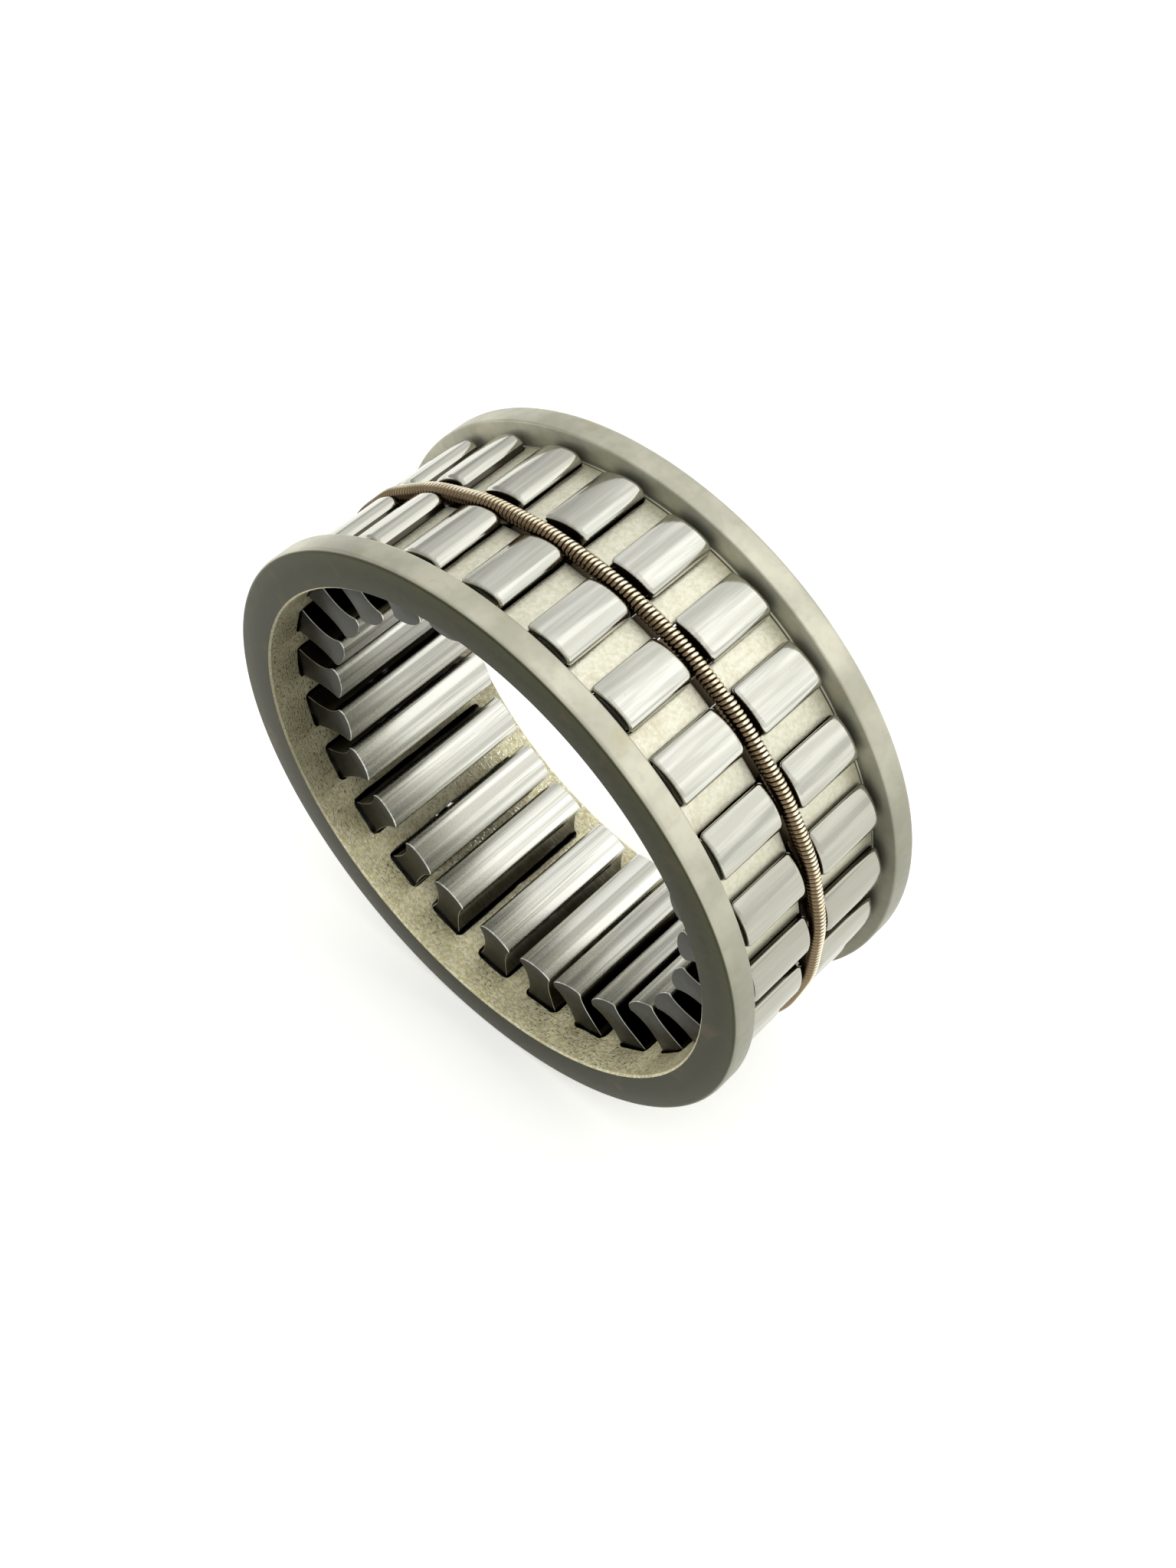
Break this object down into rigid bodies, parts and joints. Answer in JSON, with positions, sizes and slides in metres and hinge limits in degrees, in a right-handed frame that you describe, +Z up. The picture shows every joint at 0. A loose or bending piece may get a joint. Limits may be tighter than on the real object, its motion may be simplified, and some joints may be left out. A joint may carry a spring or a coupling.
{
  "type": "sprag clutch insert",
  "caption": "One-way sprag clutch insert: a turned steel cage whose windows hold tilting sprags under an endless garter spring, to lock a shaft to a housing in one direction.",
  "frame": {"origin": "centre of the ring, on its axis and halfway across its width", "axes": "+Y along the ring's axis, +Z up, with the ring standing on its two rims"},
  "size_m": [0.065, 0.0254, 0.065],
  "materials": {
    "cage_steel": "satin turned steel, lightly oiled",
    "sprag_steel": "bright ground and polished steel",
    "spring_bronze": "bronze-coloured drawn wire"
  },
  "bodies": {
    "cage": {"sprag_cage": "cage_steel", "garter_spring": "spring_bronze"},
    "sprag_01": {"sprag_01": "sprag_steel"},
    "sprag_02": {"sprag_02": "sprag_steel"},
    "sprag_03": {"sprag_03": "sprag_steel"},
    "sprag_04": {"sprag_04": "sprag_steel"},
    "sprag_05": {"sprag_05": "sprag_steel"},
    "sprag_06": {"sprag_06": "sprag_steel"},
    "sprag_07": {"sprag_07": "sprag_steel"},
    "sprag_08": {"sprag_08": "sprag_steel"},
    "sprag_09": {"sprag_09": "sprag_steel"},
    "sprag_10": {"sprag_10": "sprag_steel"},
    "sprag_11": {"sprag_11": "sprag_steel"},
    "sprag_12": {"sprag_12": "sprag_steel"},
    "sprag_13": {"sprag_13": "sprag_steel"},
    "sprag_14": {"sprag_14": "sprag_steel"},
    "sprag_15": {"sprag_15": "sprag_steel"},
    "sprag_16": {"sprag_16": "sprag_steel"},
    "sprag_17": {"sprag_17": "sprag_steel"},
    "sprag_18": {"sprag_18": "sprag_steel"},
    "sprag_19": {"sprag_19": "sprag_steel"},
    "sprag_20": {"sprag_20": "sprag_steel"},
    "sprag_21": {"sprag_21": "sprag_steel"},
    "sprag_22": {"sprag_22": "sprag_steel"},
    "sprag_23": {"sprag_23": "sprag_steel"},
    "sprag_24": {"sprag_24": "sprag_steel"},
    "sprag_25": {"sprag_25": "sprag_steel"}
  },
  "joints": [
    {"name": "sprag_01_rock", "type": "hinge", "parent": "cage", "child": "sprag_01", "pos_m": [0.02909, 0.00025, 0.00282], "axis": [0, -1, 0], "range_deg": [-5.08, 7.62], "stiffness_Nm_per_rad": 0.004},
    {"name": "sprag_02_rock", "type": "hinge", "parent": "cage", "child": "sprag_02", "pos_m": [0.02747, 0.00025, 0.00996], "axis": [0, -1, 0], "range_deg": [-8.89, 3.81], "stiffness_Nm_per_rad": 0.004},
    {"name": "sprag_03_rock", "type": "hinge", "parent": "cage", "child": "sprag_03", "pos_m": [0.02413, 0.00025, 0.01648], "axis": [0, -1, 0], "range_deg": [-3.81, 8.89], "stiffness_Nm_per_rad": 0.004},
    {"name": "sprag_04_rock", "type": "hinge", "parent": "cage", "child": "sprag_04", "pos_m": [0.01928, 0.00025, 0.02197], "axis": [0, -1, 0], "range_deg": [-7.62, 5.08], "stiffness_Nm_per_rad": 0.004},
    {"name": "sprag_05_rock", "type": "hinge", "parent": "cage", "child": "sprag_05", "pos_m": [0.01321, 0.00025, 0.02607], "axis": [0, -1, 0], "range_deg": [-8.89, 3.81], "stiffness_Nm_per_rad": 0.004},
    {"name": "sprag_06_rock", "type": "hinge", "parent": "cage", "child": "sprag_06", "pos_m": [0.00631, 0.00025, 0.02854], "axis": [0, -1, 0], "range_deg": [-3.81, 8.89], "stiffness_Nm_per_rad": 0.004},
    {"name": "sprag_07_rock", "type": "hinge", "parent": "cage", "child": "sprag_07", "pos_m": [-0.00098, 0.00025, 0.02921], "axis": [0, -1, 0], "range_deg": [-10.16, 2.54], "stiffness_Nm_per_rad": 0.004},
    {"name": "sprag_08_rock", "type": "hinge", "parent": "cage", "child": "sprag_08", "pos_m": [-0.00822, 0.00025, 0.02805], "axis": [0, -1, 0], "range_deg": [-5.08, 7.62], "stiffness_Nm_per_rad": 0.004},
    {"name": "sprag_09_rock", "type": "hinge", "parent": "cage", "child": "sprag_09", "pos_m": [-0.01493, 0.00025, 0.02512], "axis": [0, -1, 0], "range_deg": [-8.89, 3.81], "stiffness_Nm_per_rad": 0.004},
    {"name": "sprag_10_rock", "type": "hinge", "parent": "cage", "child": "sprag_10", "pos_m": [-0.02071, 0.00025, 0.02062], "axis": [0, -1, 0], "range_deg": [-3.81, 8.89], "stiffness_Nm_per_rad": 0.004},
    {"name": "sprag_11_rock", "type": "hinge", "parent": "cage", "child": "sprag_11", "pos_m": [-0.02519, 0.00025, 0.01482], "axis": [0, -1, 0], "range_deg": [-8.89, 3.81], "stiffness_Nm_per_rad": 0.004},
    {"name": "sprag_12_rock", "type": "hinge", "parent": "cage", "child": "sprag_12", "pos_m": [-0.02808, 0.00025, 0.00809], "axis": [0, -1, 0], "range_deg": [-6.35, 6.35], "stiffness_Nm_per_rad": 0.004},
    {"name": "sprag_13_rock", "type": "hinge", "parent": "cage", "child": "sprag_13", "pos_m": [-0.02921, 0.00025, 0.00085], "axis": [0, -1, 0], "range_deg": [-8.89, 3.81], "stiffness_Nm_per_rad": 0.004},
    {"name": "sprag_14_rock", "type": "hinge", "parent": "cage", "child": "sprag_14", "pos_m": [-0.02851, 0.00025, -0.00644], "axis": [0, -1, 0], "range_deg": [-5.08, 7.62], "stiffness_Nm_per_rad": 0.004},
    {"name": "sprag_15_rock", "type": "hinge", "parent": "cage", "child": "sprag_15", "pos_m": [-0.02601, 0.00025, -0.01333], "axis": [0, -1, 0], "range_deg": [-10.16, 2.54], "stiffness_Nm_per_rad": 0.004},
    {"name": "sprag_16_rock", "type": "hinge", "parent": "cage", "child": "sprag_16", "pos_m": [-0.02188, 0.00025, -0.01938], "axis": [0, -1, 0], "range_deg": [-7.62, 5.08], "stiffness_Nm_per_rad": 0.004},
    {"name": "sprag_17_rock", "type": "hinge", "parent": "cage", "child": "sprag_17", "pos_m": [-0.01637, 0.00025, -0.02421], "axis": [0, -1, 0], "range_deg": [-3.81, 8.89], "stiffness_Nm_per_rad": 0.004},
    {"name": "sprag_18_rock", "type": "hinge", "parent": "cage", "child": "sprag_18", "pos_m": [-0.00984, 0.00025, -0.02752], "axis": [0, -1, 0], "range_deg": [-11.43, 1.27], "stiffness_Nm_per_rad": 0.004},
    {"name": "sprag_19_rock", "type": "hinge", "parent": "cage", "child": "sprag_19", "pos_m": [-0.00268, 0.00025, -0.0291], "axis": [0, -1, 0], "range_deg": [-1.27, 11.43], "stiffness_Nm_per_rad": 0.004},
    {"name": "sprag_20_rock", "type": "hinge", "parent": "cage", "child": "sprag_20", "pos_m": [0.00464, 0.00025, -0.02885], "axis": [0, -1, 0], "range_deg": [-1.27, 11.43], "stiffness_Nm_per_rad": 0.004},
    {"name": "sprag_21_rock", "type": "hinge", "parent": "cage", "child": "sprag_21", "pos_m": [0.01167, 0.00025, -0.02679], "axis": [0, -1, 0], "range_deg": [-11.43, 1.27], "stiffness_Nm_per_rad": 0.004},
    {"name": "sprag_22_rock", "type": "hinge", "parent": "cage", "child": "sprag_22", "pos_m": [0.01796, 0.00025, -0.02305], "axis": [0, -1, 0], "range_deg": [-12.7, 0], "stiffness_Nm_per_rad": 0.004},
    {"name": "sprag_23_rock", "type": "hinge", "parent": "cage", "child": "sprag_23", "pos_m": [0.02313, 0.00025, -0.01786], "axis": [0, -1, 0], "range_deg": [-2.54, 10.16], "stiffness_Nm_per_rad": 0.004},
    {"name": "sprag_24_rock", "type": "hinge", "parent": "cage", "child": "sprag_24", "pos_m": [0.02685, 0.00025, -0.01155], "axis": [0, -1, 0], "range_deg": [-8.89, 3.81], "stiffness_Nm_per_rad": 0.004},
    {"name": "sprag_25_rock", "type": "hinge", "parent": "cage", "child": "sprag_25", "pos_m": [0.02888, 0.00025, -0.00451], "axis": [0, -1, 0], "range_deg": [-5.08, 7.62], "stiffness_Nm_per_rad": 0.004}
  ]
}
